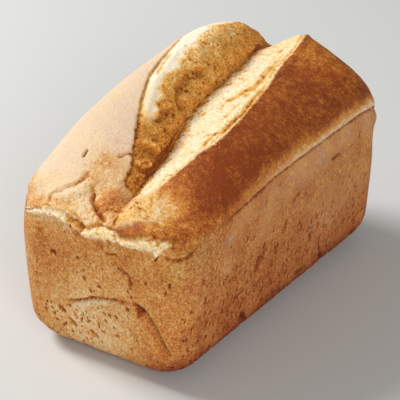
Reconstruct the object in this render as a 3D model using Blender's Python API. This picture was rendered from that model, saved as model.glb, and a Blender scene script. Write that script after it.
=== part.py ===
# A white spelt tin loaf: straight baked walls from the tin, and a risen top that split open along one long cut.
# The loaf is one closed solid, modelled as a box's skin that is bent into the loaf and then given its relief.
import bpy
import numpy as np

MM = 0.001

# Driving dimensions in millimetres: X runs along the loaf, Y across it, Z up from its base.
RIM_LENGTH = 219.0
RIM_WIDTH = 112.0
RIM_HEIGHT = 90.0
WALL_LEAN = 4.5
RIM_DRAW = 1.6
BASE_RADIUS = 19.0
CORNER_RADIUS = 21.0
HALF_LENGTH = RIM_LENGTH / 2
HALF_WIDTH = RIM_WIDTH / 2

# Height of the rim line, where the dough rose over the tin: (X, Z) on the long walls, (Y, Z) on the short ones.
RIGHT_RIM = [(-109.5, 79), (-80, 84), (-56, 86.5), (-34, 93), (30, 93.5), (70, 93.5), (90, 90), (109.5, 83)]
LEFT_RIM = [(-109.5, 82), (-60, 87), (0, 90), (60, 90), (109.5, 86)]
FRONT_RIM = [(-56, 79), (-47, 83), (-35, 84), (-10, 83), (0, 83), (8, 87), (16, 90), (30, 89), (56, 82)]
BACK_RIM = [(-56, 83), (-20, 88), (20, 89), (56, 86)]

# Guide lines of the risen top, as (X, Y, Z).
EAR = [(-109.5, -16, 95), (-92, -17, 97), (-76, -24, 101), (-55, -29, 109), (-33, -29.5, 113.5),
       (9, -26, 117.5), (37, -21.5, 119.5), (66, -15.5, 120.5), (88, -11, 126), (109.5, -6, 126)]
VALLEY = [(-109.5, -13, 90), (-91, -9, 91), (-64, -3, 94), (-38, 2, 96), (-11, 7, 104.8),
          (15, 11, 108.4), (45, 14, 111), (92, 20, 110.5), (109.5, 22, 108)]
CROWN = [(-109.5, 47, 85), (-96, 47, 91), (-87, 46, 97.5), (-73, 45, 106), (-57, 45, 113.5), (-34, 45, 119.5),
         (14, 45, 125.5), (60, 45, 127.5), (80, 44, 124), (98, 41, 118), (109.5, 38, 114)]
# Share of the top's columns up to the right rim, ear, valley, crown and left rim.
SPANS = (0, 0.24, 0.44, 0.72, 1)

# How far in from each end the top has finished curving up.
FRONT_ROLL = 9.0
BACK_ROLL = 25.0
# How far in from each end the top's columns have moved from even steps onto the guide lines.
FRONT_BLEND = 18.0
BACK_BLEND = 8.0
# Share of a wall's rows that the rounded bottom edge takes.
BASE_SHARE = 0.2
LATTICE = (204, 174, 92)
TRIANGLES = 11400

# Lines of the relief, as (X, Y, Z) near the surface; each is laid onto it.
LINES = {
    "ledge": [(-108, 10, 87.5), (-107, 1, 84.5), (-105.5, -5, 87), (-105.5, -12, 88.5), (-106.5, -24, 89.5),
              (-106, -33, 89.5), (-101, -43, 88), (-100.5, -47, 84), (-100.5, -50.5, 78)],
    "gap": [(-108, 15, 88), (-108, 5, 84.5)],
    "roll": [(-102, 46.5, 83.5), (-101, 38, 85), (-97, 32, 90.5), (-91.5, 21.5, 95.5), (-87, 19, 98)],
    "knob crack": [(-89, 21.5, 97), (-95, 8, 92.5), (-100, 0, 90), (-105.5, -12, 88.5)],
    "knob": [(-84, 7, 98), (-92, 0, 93), (-101, -6, 90.5)],
    "valley end": [(-75, -1.5, 97), (-82, -5.5, 93.5), (-90, -8.5, 91), (-103, -12, 90.5)],
    "base crack": [(-107, 23, 31), (-107.5, 15.5, 37), (-108, -1, 44.5), (-108, -18, 48.5), (-108, -25, 49)],
    "fold": [(-108, -25, 49.5), (-108, -33.5, 45.5), (-107, -39, 35), (-104.5, -44.5, 22.5), (-101.5, -47.5, 15)],
    "lip": [(-76, 2, 99.5), (-63, 6.5, 105), (-35, 20, 117), (-17, 28.5, 122.5), (16, 38, 126), (50, 45, 127),
            (85, 45, 123)],
    "rim crease": [(-44, -54.5, 88), (-29, -54.5, 92), (30, -54.5, 92), (61, -54.5, 92.5), (90, -54.5, 90)],
    "crumb seam": [(-33, -21.5, 111), (-20, -25, 114), (13, -21.5, 117.5), (36, -18, 119), (80, -12, 122.5)],
}
# Grooves and beads: the line, height, distance to the line's left, half width, and the share of the line over
# which it eases in at the start and out at the end.
BEADS = [
    ("ledge", -3.2, -1.6, 2.1, 0.05, 0.25),
    ("ledge", -1.2, -5.0, 3.0, 0.05, 0.25),
    ("gap", -4.2, 0.0, 2.4, 0.1, 0.1),
    ("roll", -2.2, 0.0, 1.8, 0.06, 0.2),
    ("roll", 2.8, -6.0, 4.5, 0.5, 0.2),
    ("knob crack", -2.6, 0.0, 1.8, 0.15, 0.15),
    ("knob", 2.6, 0.0, 6.5, 0.6, 0.05),
    ("valley end", -2.0, 0.0, 2.0, 0.2, 0.15),
    ("base crack", -2.4, -0.6, 1.5, 0.15, 0.15),
    ("lip", -1.4, -1.8, 2.0, 0.06, 0.3),
    ("rim crease", 1.2, 2.6, 1.9, 0.15, 0.1),
    ("rim crease", -1.3, 0.0, 1.5, 0.15, 0.1),
    ("crumb seam", -1.3, 0.0, 1.6, 0.15, 0.15),
]
# Steps up on the line's left: the line, height, half width of the step, reach of the raised side, and the shares.
STEPS = [
    ("ledge", 2.2, 1.3, 8.0, 0.05, 0.25),
    ("roll", 1.4, 1.3, 6.0, 0.06, 0.2),
    ("base crack", 1.0, 1.2, 6.0, 0.15, 0.15),
    ("lip", 1.8, 1.4, 9.0, 0.06, 0.3),
]
# The fold at the foot of the front corner: a wedge that is deepest along its right edge.
FOLD_WIDTH = 8.5
FOLD_DEPTH = 4.6
FOLD_EDGE = 1.2
FOLD_LIP = 0.8
# Dents and lumps at the rim's corners: place, height and half width.
LUMPS = [
    ((103, -50, 78), 2.2, 5.0),
    ((103, -50, 67), -2.6, 6.0),
    ((-104, 50, 88), -2.6, 12.0),
]


def follow(knots, at):
    # A smooth curve through the knots, whose first value is the place, read at the given places.
    knots = np.array(knots, float)
    place, values = knots[:, 0], knots[:, 1:]
    slope = np.gradient(values, place, axis=0)
    at = np.clip(at, place[0], place[-1])
    left = np.clip(np.searchsorted(place, at, side="right") - 1, 0, len(place) - 2)
    width = (place[left + 1] - place[left])[:, None]
    t = (at - place[left])[:, None] / width
    keep = (1 + 2 * t) * (1 - t) ** 2
    leave = t * (1 - t) ** 2 * width * slope[left]
    arrive = t * t * (t - 1) * width * slope[left + 1]
    return keep * values[left] + (1 - keep) * values[left + 1] + leave + arrive


def bezier(start, lead, approach, finish, t):
    t = t[:, None]
    rest = 1 - t
    return rest ** 3 * start + 3 * rest ** 2 * t * lead + 3 * rest * t ** 2 * approach + t ** 3 * finish


def smooth(value, low, high):
    t = np.clip((value - low) / (high - low), 0, 1)
    return t * t * (3 - 2 * t)


def bell(distance, width):
    return np.exp(-(distance / width) ** 2)


def offset(y, z):
    return np.column_stack(np.broadcast_arrays(y, z))


def box_lattice(counts):
    # Places, from 0 to 1, of the points on a box's skin, and its quads facing out.
    grid = np.meshgrid(*(np.arange(n + 1) for n in counts), indexing="ij")
    skin = sum(g % n == 0 for g, n in zip(grid, counts)) > 0
    number = np.full(skin.shape, -1)
    number[skin] = np.arange(skin.sum())
    quads = []
    for axis in range(3):
        for end in (0, -1):
            sheet = np.take(number, end, axis=axis)
            quad = np.stack([sheet[:-1, :-1], sheet[1:, :-1], sheet[1:, 1:], sheet[:-1, 1:]], -1)
            outward = (end == -1) != (axis == 1)
            quads.append(quad.reshape(-1, 4)[:, :: 1 if outward else -1])
    places = np.stack([g[skin] / n for g, n in zip(grid, counts)], -1)
    return places, np.concatenate(quads)


def stand_in(height):
    # How far the wall stands in from the rim's outline at a height: rounded base, lean, and a rim drawn in.
    drop = np.clip(BASE_RADIUS - height, 0, BASE_RADIUS)
    level = np.clip(height / RIM_HEIGHT, 0, 1)
    rounded = BASE_RADIUS - np.sqrt(BASE_RADIUS ** 2 - drop ** 2)
    return rounded + WALL_LEAN * (1 - level) ** 1.6 + RIM_DRAW * level ** 4


def top_section(x, v):
    # (Y, Z) of the risen top at stations x, with v running from the right rim to the left one.
    right = offset(-HALF_WIDTH, follow(RIGHT_RIM, x)[:, 0])
    left = offset(HALF_WIDTH, follow(LEFT_RIM, x)[:, 0])
    ear, valley, crown = follow(EAR, x), follow(VALLEY, x), follow(CROWN, x)
    flank, wall, side = (ear - right)[:, 1], (crown - valley)[:, 1], (crown - left)[:, 1]
    swell = 4 + 2 * smooth(x, 60, 110)
    fall = 0.14 + 0.05 * smooth(x, 40, 100)
    curves = [
        (right, right + offset(-swell, 0.45 * flank), ear - offset(15, fall * flank), ear),
        (ear, ear + (valley - ear) * [0.3, 0.1], valley + (ear - valley) * [0.35, 0.2], valley),
        (valley, valley + offset(3, 0.82 * wall), crown + offset(-12, 6), crown),
        (crown, crown + offset(7, -5), left + offset(4, 0.45 * side), left),
    ]
    section = np.empty((len(x), 2))
    for curve, low, high in zip(curves, SPANS, SPANS[1:]):
        inside = (v >= low) & (v <= high)
        section[inside] = bezier(*(points[inside] for points in curve), (v[inside] - low) / (high - low))
    return section


def roll(distance, length):
    return np.sqrt(1 - np.clip(1 - distance / length, 0, 1) ** 2)


def round_corners(points):
    # Pulls the four upright edges in to arcs.
    depth = stand_in(points[:, 2])
    radius = CORNER_RADIUS * (1 - depth / (CORNER_RADIUS + BASE_RADIUS))
    core = np.column_stack([HALF_LENGTH - depth - radius, HALF_WIDTH - depth - radius])
    share = np.clip((np.abs(points[:, :2]) - core) / radius[:, None], 0, 1.25)
    bent = core + radius[:, None] * share * np.sqrt(1 - share[:, ::-1] ** 2 / 2)
    corner = (share > 0).all(1)
    result = points.copy()
    result[corner, :2] = (np.sign(points[:, :2]) * bent)[corner]
    return result


def base_form(places):
    u, v, w = places.T
    along = 0.6 * (2 * u - 1) - 0.4 * np.cos(np.pi * u)
    across = 2 * v - 1
    x, y = HALF_LENGTH * along, HALF_WIDTH * across
    end_rim = np.where(x < 0, follow(FRONT_RIM, y)[:, 0], follow(BACK_RIM, y)[:, 0])
    side_rim = np.where(y < 0, follow(RIGHT_RIM, x)[:, 0], follow(LEFT_RIM, x)[:, 0])
    rim = np.where((u == 0) | (u == 1), end_rim, side_rim)
    turn = np.minimum(w / BASE_SHARE, 1) * np.pi / 2
    lift = (w - BASE_SHARE) / (1 - BASE_SHARE)
    height = np.where(w < BASE_SHARE, BASE_RADIUS * (1 - np.cos(turn)), BASE_RADIUS + (rim - BASE_RADIUS) * lift)
    depth = stand_in(height)
    points = np.column_stack([along * (HALF_LENGTH - depth), across * (HALF_WIDTH - depth), height])

    top = w == 1
    x, y, v, end_rim = x[top], y[top], v[top], end_rim[top]
    section = top_section(x, v)
    front, back = HALF_LENGTH + x, HALF_LENGTH - x
    settle = smooth(front, 0, FRONT_BLEND) * smooth(back, 0, BACK_BLEND)
    rise = roll(front, FRONT_ROLL) * roll(back, BACK_ROLL)
    points[top, 0] = x * (1 - RIM_DRAW / HALF_LENGTH)
    points[top, 1] = (y + (section[:, 0] - y) * settle) * (1 - RIM_DRAW / HALF_WIDTH)
    points[top, 2] = end_rim + (section[:, 1] - end_rim) * rise
    return round_corners(points)


def point_normals(points, quads):
    first, second = points[quads[:, 2]] - points[quads[:, 0]], points[quads[:, 3]] - points[quads[:, 1]]
    face = np.cross(first, second)
    normals = np.zeros_like(points)
    for corner in range(4):
        for axis in range(3):
            normals[:, axis] += np.bincount(quads[:, corner], face[:, axis], len(points))
    return normals / np.linalg.norm(normals, axis=1, keepdims=True)


def near_line(points, normals, knots, samples=36):
    # Distance of each point to a line laid on the surface, positive on its left, and its place along it.
    knots = np.column_stack([np.linspace(0, 1, len(knots)), knots])
    line = follow(knots, np.linspace(0, 1, samples))
    for number, sample in enumerate(line):
        nearest = np.argmin(((points - sample) ** 2).sum(1))
        line[number] -= ((sample - points[nearest]) @ normals[nearest]) * normals[nearest]
    distance, place = np.full(len(points), np.inf), np.zeros(len(points))
    for number in range(samples - 1):
        start, run = line[number], line[number + 1] - line[number]
        t = np.clip((points - start) @ run / (run @ run), 0, 1)
        gap = points - start - t[:, None] * run
        length = np.linalg.norm(gap, axis=1)
        side = np.where((np.cross(run, gap) * normals).sum(1) < 0, -1, 1)
        nearer = length < np.abs(distance)
        distance[nearer] = (side * length)[nearer]
        place[nearer] = ((number + t) / (samples - 1))[nearer]
    return distance, place


def ends(place, first, last):
    # 1 along a line, easing to 0 over the given shares at its two ends.
    return smooth(place, 0, first) * smooth(1 - place, 0, last)


def fold_relief(distance, place):
    width = FOLD_WIDTH * (1 - 0.85 * place) * smooth(place, 0, 0.2)
    floor = np.clip(1 + distance / np.maximum(width, 0.1), 0, 1) * (1 - smooth(distance, -FOLD_EDGE, FOLD_EDGE))
    lip = bell(distance - 2 * FOLD_EDGE, 2 * FOLD_EDGE)
    return ends(place, 0.1, 0.1) * (FOLD_LIP * lip - FOLD_DEPTH * floor)


def relief(points, normals):
    # How far each point stands out from the plain form.
    lines = {name: near_line(points, normals, knots) for name, knots in LINES.items()}
    push = fold_relief(*lines["fold"])
    for name, height, left, width, first, last in BEADS:
        distance, place = lines[name]
        push += height * bell(distance - left, width) * ends(place, first, last)
    for name, height, edge, reach, first, last in STEPS:
        distance, place = lines[name]
        rise = smooth(distance, -edge, edge) * np.exp(-np.clip(distance, 0, None) / reach)
        push += height * rise * ends(place, first, last)
    for centre, height, width in LUMPS:
        push += height * bell(np.linalg.norm(points - centre, axis=1), width)
    return push


def loaf_points(places, quads):
    points = base_form(places)
    normals = point_normals(points, quads)
    above_base = smooth(points[:, 2], 0, 4)
    points += normals * (relief(points, normals) * above_base)[:, None]
    middle = (points.min(0) + points.max(0)) / 2
    points[:, :2] -= middle[:2]
    return points


def make_material(name, colour, roughness):
    material = bpy.data.materials.new(name)
    material.use_nodes = True
    shader = material.node_tree.nodes["Principled BSDF"]
    shader.inputs["Base Color"].default_value = (*colour, 1)
    shader.inputs["Roughness"].default_value = roughness
    shader.inputs["Metallic"].default_value = 0
    return material


def make_loaf():
    places, quads = box_lattice(LATTICE)
    mesh = bpy.data.meshes.new("loaf")
    mesh.from_pydata((loaf_points(places, quads) * MM).tolist(), [], quads.tolist())
    mesh.materials.append(make_material("crust", (0.56, 0.30, 0.11), 0.7))
    mesh.shade_smooth()
    loaf = bpy.data.objects.new("loaf", mesh)
    bpy.context.scene.collection.objects.link(loaf)
    facets = loaf.modifiers.new("fewer facets", "DECIMATE")
    facets.ratio = TRIANGLES / (2 * len(quads))


for leftover in list(bpy.data.objects):
    bpy.data.objects.remove(leftover)
make_loaf()
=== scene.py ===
# A white spelt tin loaf on a pale floor. The loaf is worked out in millimetres and built in metres.
import math
import bpy
import numpy as np
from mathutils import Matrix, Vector


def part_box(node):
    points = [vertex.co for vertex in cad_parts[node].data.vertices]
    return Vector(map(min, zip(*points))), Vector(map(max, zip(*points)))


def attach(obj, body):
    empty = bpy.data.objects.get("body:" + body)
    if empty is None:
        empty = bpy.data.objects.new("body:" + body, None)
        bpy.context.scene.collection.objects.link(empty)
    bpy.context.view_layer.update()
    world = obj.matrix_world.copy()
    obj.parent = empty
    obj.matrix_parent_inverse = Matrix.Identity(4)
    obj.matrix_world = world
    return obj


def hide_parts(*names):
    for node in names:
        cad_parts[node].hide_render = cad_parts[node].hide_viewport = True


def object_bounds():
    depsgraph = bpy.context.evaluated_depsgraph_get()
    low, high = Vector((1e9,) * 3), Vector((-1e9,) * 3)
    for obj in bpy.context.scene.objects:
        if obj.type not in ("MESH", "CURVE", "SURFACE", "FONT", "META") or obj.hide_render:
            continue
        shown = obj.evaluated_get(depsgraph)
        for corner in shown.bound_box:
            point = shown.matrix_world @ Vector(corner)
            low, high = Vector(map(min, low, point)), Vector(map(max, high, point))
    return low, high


mm = 0.001

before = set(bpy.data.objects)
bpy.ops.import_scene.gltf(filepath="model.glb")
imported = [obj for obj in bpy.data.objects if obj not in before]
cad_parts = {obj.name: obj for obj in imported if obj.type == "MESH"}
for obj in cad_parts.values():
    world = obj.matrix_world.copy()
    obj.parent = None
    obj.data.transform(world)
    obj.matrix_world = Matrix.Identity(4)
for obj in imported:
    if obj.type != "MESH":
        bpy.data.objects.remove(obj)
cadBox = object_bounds()
print("frame loaded")

# What a user would change of the loaf's form. X runs along the loaf, Y across it and Z up; the long cut's
# ear, its valley and the left lobe's crown are guide lines of points (X, Y, Z), and each rim is (place, Z).
loaf = {
    "rimLength": 219.0,
    "rimWidth": 112.0,
    "rimHeight": 90.0,
    "wallLean": 4.5,
    "rimDraw": 1.6,
    "baseRadius": 19.0,
    "cornerRadius": 21.0,
    "rightRim": [
        (-109.5, 79), (-80, 84), (-56, 86.5), (-34, 93), (30, 93.5), (70, 93.5), (90, 90), (109.5, 83),
    ],
    "leftRim": [(-109.5, 82), (-60, 87), (0, 90), (60, 90), (109.5, 86)],
    "frontRim": [
        (-56, 79), (-47, 83), (-35, 84), (-10, 83), (0, 83), (8, 87), (16, 90), (30, 89), (56, 82),
    ],
    "backRim": [(-56, 83), (-20, 88), (20, 89), (56, 86)],
    "ear": [
        (-109.5, -16, 95), (-92, -17, 97), (-76, -24, 101), (-55, -29, 109), (-33, -29.5, 113.5),
        (9, -26, 117.5), (37, -21.5, 119.5), (66, -15.5, 120.5), (88, -11, 126), (109.5, -6, 126),
    ],
    "valley": [
        (-109.5, -13, 90), (-91, -9, 91), (-64, -3, 94), (-38, 2, 96), (-11, 7, 104.8), (15, 11, 108.4),
        (45, 14, 111), (92, 20, 110.5), (109.5, 22, 108),
    ],
    "crown": [
        (-109.5, 47, 85), (-96, 47, 91), (-87, 46, 97.5), (-73, 45, 106), (-57, 45, 113.5),
        (-34, 45, 119.5), (14, 45, 125.5), (60, 45, 127.5), (80, 44, 124), (98, 41, 118), (109.5, 38, 114),
    ],
    "spans": (0, 0.24, 0.44, 0.72, 1),
    "frontRoll": 9.0,
    "backRoll": 25.0,
    "frontBlend": 18.0,
    "backBlend": 8.0,
    "baseShare": 0.2,
    "footRipple": 1.1,
    "lattice": (380, 310, 130),
    "triangles": 198000,
}
halfLength = loaf["rimLength"] / 2
halfWidth = loaf["rimWidth"] / 2

# Lines that the relief and the colours follow, as (X, Y, Z) near the surface; each is laid onto it.
lines = {
    "ledge": [
        (-102, 47, 81), (-106.5, 38, 85.5), (-108.6, 31, 87.6), (-107.6, 19.4, 89), (-106.3, 14.5, 88.3),
        (-105.5, 10.5, 87), (-105, 6, 83.5), (-105.5, 2, 84), (-105, -3, 86), (-104.2, -8, 86),
        (-104.2, -17, 85.6), (-104.2, -23, 86), (-103.3, -31, 87.3), (-102.8, -38, 88),
        (-100.4, -42.8, 87.5), (-99.8, -45.5, 85), (-100.3, -50.5, 78.5),
    ],
    "ledgeFoot": [
        (-102, 47, 78.5), (-105.2, 43, 80), (-108.6, 31, 84.3), (-107.9, 23.5, 85.3), (-107.9, 18.5, 84),
        (-106.4, 10.7, 83), (-106.3, 6, 81), (-106.9, 1.6, 78.9), (-107, -4.3, 80.3), (-107.5, -14.4, 81.5),
        (-107.3, -24, 82.2), (-107, -36.6, 82.5), (-106, -42.6, 80.1), (-102.5, -48, 79), (-100.8, -51, 76),
    ],
    "gap": [
        (-107.8, 16.4, 86.6), (-106.8, 13.8, 86.5), (-105.8, 10, 85), (-105.5, 7, 83.5), (-106, 3.6, 81.5),
    ],
    "roll": [
        (-108.4, 33.5, 87.8), (-105.5, 33.8, 89.5), (-101, 33.5, 90.5), (-97.5, 31.5, 91.5),
        (-96, 27.8, 93.2), (-92.7, 25, 94.5), (-90.5, 22.2, 95), (-88.1, 20, 96.7), (-85.9, 19.2, 98.7),
        (-80, 18.4, 101.5),
    ],
    "knobCrack": [
        (-86, 14.5, 97), (-91.8, 9.5, 94.3), (-93.6, 8.6, 91.8), (-96.7, 4.9, 90.6), (-100, 0.6, 89.9),
        (-102.4, -4.1, 88.6), (-104.4, -9, 87),
    ],
    "knob": [(-82, 3, 98), (-90, -3, 94.5), (-98, -6.5, 92)],
    "baseCrack": [
        (-107, 18.5, 34.5), (-107, 13.4, 37), (-107, 9, 39), (-107.5, 4.9, 41), (-107.5, -1, 43.7),
        (-107.5, -7.6, 45.4), (-108, -14, 46.8), (-108, -19, 47.1), (-108, -25.7, 48.6),
    ],
    "fold": [
        (-108, -25, 49.5), (-108, -30.4, 48.8), (-108, -35.4, 46), (-107.5, -38.3, 41),
        (-106.5, -41.3, 34.5), (-104.7, -44, 27), (-102, -46.8, 18),
    ],
    "lip": [
        (-79.5, -3, 95), (-77.5, 0.5, 98), (-70.6, 3, 99.6), (-65.3, 4.9, 102), (-62, 7.2, 106),
        (-55, 10, 109), (-49.1, 13.4, 112.3), (-35.1, 20.6, 118.6), (-24.4, 25.5, 121.7),
        (-10.3, 31.4, 125.5), (1.1, 34.6, 126.5), (15.5, 38, 127), (30, 41, 127.2), (50, 45, 127),
        (85, 45, 123), (108, 38, 112),
    ],
    "crumbLeft": [
        (-106.5, -12, 88), (-105.2, -12, 89.8), (-102.5, -12.5, 92), (-97, -13, 93), (-93, -14.8, 95),
        (-88, -14, 96), (-83, -10.5, 94.5), (-80, -7, 93.2),
    ],
    "earEdge": [
        (-106.5, -13, 88.5), (-105.5, -19.3, 92), (-103.5, -26, 94.3), (-99, -31, 94.5), (-94, -30.5, 95),
        (-88, -27, 96.5), (-82, -23, 98.5), (-74, -21.5, 100.6), (-62.5, -25, 105.5), (-46.4, -28.5, 110.8),
        (-35, -30.6, 112.5), (-13, -29.4, 115.4), (7, -26.3, 117), (28.6, -22.6, 118.8),
        (44.5, -17.7, 118.6), (59, -13.8, 119), (78, -12.3, 123.8), (88, -11, 125.5), (98, -8, 122),
        (109, -4, 104),
    ],
    "valley": [
        (-103, -14, 90.5), (-82, -9, 93.5), (-64, -6, 94), (-38, -1, 96), (-11, 4, 104), (15, 8, 108),
        (45, 11, 110.5), (92, 17, 110.5), (109, 20, 103),
    ],
    "rimCrease": [
        (-66.6, -54.5, 83.9), (-53, -54.5, 86), (-41.6, -54.2, 87.3), (-28.8, -54.2, 88.7), (-18, -54, 90),
        (8, -53.5, 90.8), (39, -53.4, 91), (63, -53.6, 91), (82, -53, 90.5), (100, -50, 88),
    ],
    "crumbSeam": [
        (8, -6, 112.5), (13, -8.5, 113.3), (24.2, -13.6, 116.8), (34.4, -13.2, 117.8),
        (42.6, -11.4, 118.5), (56, -9, 118.8), (74, -8, 120),
    ],
    "edgeSeam": [
        (-45, -25, 108.5), (-29.7, -24.6, 112), (-24.1, -26.9, 114), (-7.4, -26.5, 115.9),
        (10, -23.5, 116.5), (28, -19.5, 118),
    ],
    "slopeCurl": [(-4, -10.5, 111.8), (4, -8.5, 111.8), (12.6, -3.2, 111.8)],
    "leftCrack": [(-60.5, 7.5, 107.5), (-65.9, 9.2, 106.5), (-69.5, 11, 106)],
    "lipGroove": [(-6, 28.5, 124), (-3.5, 30, 124.3), (6, 33, 125.6), (15.4, 35.4, 126.3), (20, 36, 126.5)],
    "lowFold": [(-66, 3, 101), (-62, 2.5, 101), (-57.1, 1, 99), (-51.7, -1, 96)],
    "nearFold": [
        (-57, 10, 107.5), (-53.3, 10.2, 107.1), (-47.1, 6.1, 105.7), (-42.4, 3.6, 102), (-39.9, 2.2, 98.5),
    ],
    "midFold": [
        (-36, 15, 113), (-32.3, 15.3, 114.7), (-26.7, 15.2, 115.6), (-20.4, 14.3, 115.8), (-13, 12, 115),
    ],
    "farFold": [
        (-13, 10, 114), (-11.2, 14, 117), (-5.8, 18.3, 120.1), (1.9, 20.9, 122), (14, 21.6, 122.9),
        (23.2, 19.6, 121.9), (27.8, 17.2, 119.5),
    ],
    "sideMark": [(1.6, -54.7, 67.2), (6.8, -54.7, 68.3), (9.9, -54.7, 70.8)],
    "sideCrack": [(43.6, -54.7, 75.1), (48, -54.7, 75.8), (53, -54.7, 75.2), (56, -54.7, 73.6)],
    "hairline": [
        (-108.2, -12, 73), (-108.2, -16.6, 68.1), (-108.2, -19.3, 66.2), (-108.2, -23.4, 64.4),
        (-108.1, -24.5, 60), (-108, -25, 52.3),
    ],
    "wrinkle": [(-108.2, -8, 72.5), (-108.2, -10.4, 72.8), (-108.2, -15.3, 73.7), (-108.2, -16.8, 72)],
    "curl": [
        (-106.1, -42.1, 81.7), (-104.3, -45.7, 79.7), (-101.5, -49.2, 78.3), (-97.6, -52, 78.5),
        (-93.6, -53.5, 80.6), (-89.4, -54.4, 82.9),
    ],
    "ochre": [
        (-70, -54.6, 84), (-82.4, -54.6, 80.8), (-91.1, -54.3, 79.1), (-97.2, -52.3, 75.5),
        (-101.6, -49.2, 70.9), (-104, -46.5, 62.3), (-106, -42.9, 56.2),
    ],
}
lines["crumbLeft"] += lines["lip"]  # the crumb's left edge runs on along the lip

# How far a line strays from its knots, in shares of a torn edge.
calm = {"fold": 0.3, "curl": 0.3, "earEdge": 0.5, "knobCrack": 0.6, "lip": 0.7, "rimCrease": 0.8,
        "hairline": 1.5, "ochre": 3}

# Grooves and beads: the line, height, distance to the line's left, half width, and the shares of the line
# over which it eases in at the start and out at the end.
beads = [
    ("ledge", -1.5, -0.7, 0.8, 0.6, 0.1),
    ("ledge", 0.9, -3.6, 1.8, 0.4, 0.1),
    ("earEdge", 0.4, 0.2, 1.1, 0.55, 0.1),
    ("earEdge", -0.4, 2.4, 1, 0.55, 0.1),
    ("curl", -1.8, 0, 0.8, 0.2, 0.3),
    ("curl", 0.7, 2.2, 1.4, 0.2, 0.3),
    ("gap", -4.2, 0, 2, 0.15, 0.15),
    ("roll", -1.7, 0.3, 1, 0.08, 0.15),
    ("roll", 2.4, -5.5, 4, 0.3, 0.2),
    ("knobCrack", -2.8, 0, 1.1, 0.2, 0.12),
    ("knob", 2.6, 0, 6.5, 0.5, 0.1),
    ("baseCrack", -2.4, -0.6, 1, 0.12, 0.2),
    ("ledgeFoot", 1.3, 0.9, 1.7, 0.04, 0.6),
    ("lip", -0.5, -0.6, 0.6, 0.04, 0.35),
    ("lip", 0.8, -4.5, 2.4, 0.25, 0.35),
    ("lipGroove", -1.1, 0, 1, 0.3, 0.3),
    ("rimCrease", 1.2, 2.9, 2.2, 0.25, 0.1),
    ("rimCrease", -0.5, 6.6, 1.6, 0.3, 0.1),
    ("rimCrease", -1.8, 0, 0.7, 0.15, 0.1),
    ("crumbSeam", -1, 0, 1.5, 0.15, 0.2),
    ("edgeSeam", -0.9, 0, 1.1, 0.15, 0.2),
    ("slopeCurl", -0.9, 0, 0.7, 0.3, 0.3),
    ("leftCrack", -1.6, 0, 0.7, 0.2, 0.3),
    ("lowFold", -2, -2.6, 2, 0.25, 0.25),
    ("nearFold", -2.2, -3.4, 2.6, 0.2, 0.2),
    ("midFold", -1.8, -3.4, 2.8, 0.25, 0.25),
    ("farFold", -2, -4, 3.4, 0.12, 0.25),
    ("sideMark", -0.9, 0, 0.6, 0.3, 0.2),
    ("sideCrack", -1.2, 0, 0.7, 0.2, 0.2),
    ("wrinkle", -1, 0, 0.8, 0.2, 0.2),
    ("hairline", -0.6, 0, 0.8, 0.2, 0.2),
]
# Steps up on the line's left: the line, height, half width of the step, reach of the raised side, and
# the shares.
steps = [
    ("ledge", 1.6, 0.7, 8, 0.6, 0.1),
    ("curl", 0.8, 0.8, 7, 0.2, 0.3),
    ("roll", 0.9, 1, 6, 0.08, 0.15),
    ("baseCrack", 1, 0.6, 6, 0.12, 0.2),
    ("lip", 1, 0.6, 9, 0.04, 0.3),
    ("lowFold", 1.2, 0.5, 4, 0.25, 0.25),
    ("nearFold", 1.2, 0.8, 5, 0.2, 0.2),
    ("midFold", 0.9, 0.8, 5, 0.25, 0.25),
    ("farFold", 1.2, 0.8, 6, 0.12, 0.25),
]
# Darker and paler streaks along a line: the line, change of shade, distance to its left, half width and
# the shares.
tints = [
    ("ledge", 0.4, -0.4, 0.6, 0.6, 0.1),
    ("curl", 0.5, 0, 1, 0.2, 0.3),
    ("gap", 0.55, 0, 1.8, 0.15, 0.15),
    ("roll", 0.3, 0.5, 1.1, 0.05, 0.1),
    ("knobCrack", 0.6, 0, 1, 0.15, 0.1),
    # Along the base crack: painted shadow under its overhanging edge and a painted highlight on the shelf
    # below.
    ("baseCrack", 0.7, -0.4, 0.9, 0.1, 0.2),
    ("baseCrack", -0.2, -2.6, 1.6, 0.15, 0.3),
    ("lip", 0.32, -0.3, 0.6, 0.03, 0.4),
    ("lip", 0.18, -0.6, 1.4, 0.03, 0.75),
    ("lipGroove", 0.4, 0, 1, 0.3, 0.3),
    ("rimCrease", 0.85, -0.1, 0.7, 0.2, 0.05),
    ("rimCrease", -0.32, 2.8, 2.4, 0.75, 0.05),
    ("crumbSeam", 0.4, 0, 2.5, 0.1, 0.2),
    ("edgeSeam", 0.42, 0, 1.8, 0.15, 0.2),
    ("earEdge", 0.1, 0.4, 0.8, 0.5, 0.1),
    ("earEdge", 0.24, 2.3, 0.9, 0.5, 0.1),
    ("slopeCurl", 0.3, 0, 0.8, 0.3, 0.3),
    ("leftCrack", 0.6, 0, 0.7, 0.2, 0.3),
    # On the crumb wall's folds: a painted highlight along each raised edge and painted shade in the groove
    # below it.
    ("lowFold", -0.3, 0.5, 0.8, 0.2, 0.2),
    ("lowFold", 0.25, -2.6, 2, 0.2, 0.2),
    ("nearFold", -0.16, 0.5, 1.2, 0.2, 0.2),
    ("nearFold", 0.2, -2.6, 2.2, 0.2, 0.2),
    ("midFold", -0.14, 0.6, 1.2, 0.2, 0.2),
    ("midFold", 0.2, -2.8, 2.4, 0.2, 0.2),
    ("farFold", -0.14, 0.6, 1.2, 0.1, 0.2),
    ("farFold", 0.2, -2.8, 2.6, 0.1, 0.2),
    ("sideMark", 0.7, 0, 0.8, 0.3, 0.2),
    ("sideCrack", 0.8, 0, 0.9, 0.2, 0.2),
    ("hairline", 0.38, 0, 1.1, 0.2, 0.2),
    ("wrinkle", 0.3, 0, 0.8, 0.2, 0.2),
]
# The wedge-shaped fold: millimetres, and the share of its width that it loses along its line.
fold = {"width": 10.5, "taper": 0.5, "depth": 5.4, "edge": 0.6, "lip": 0.8}
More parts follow.
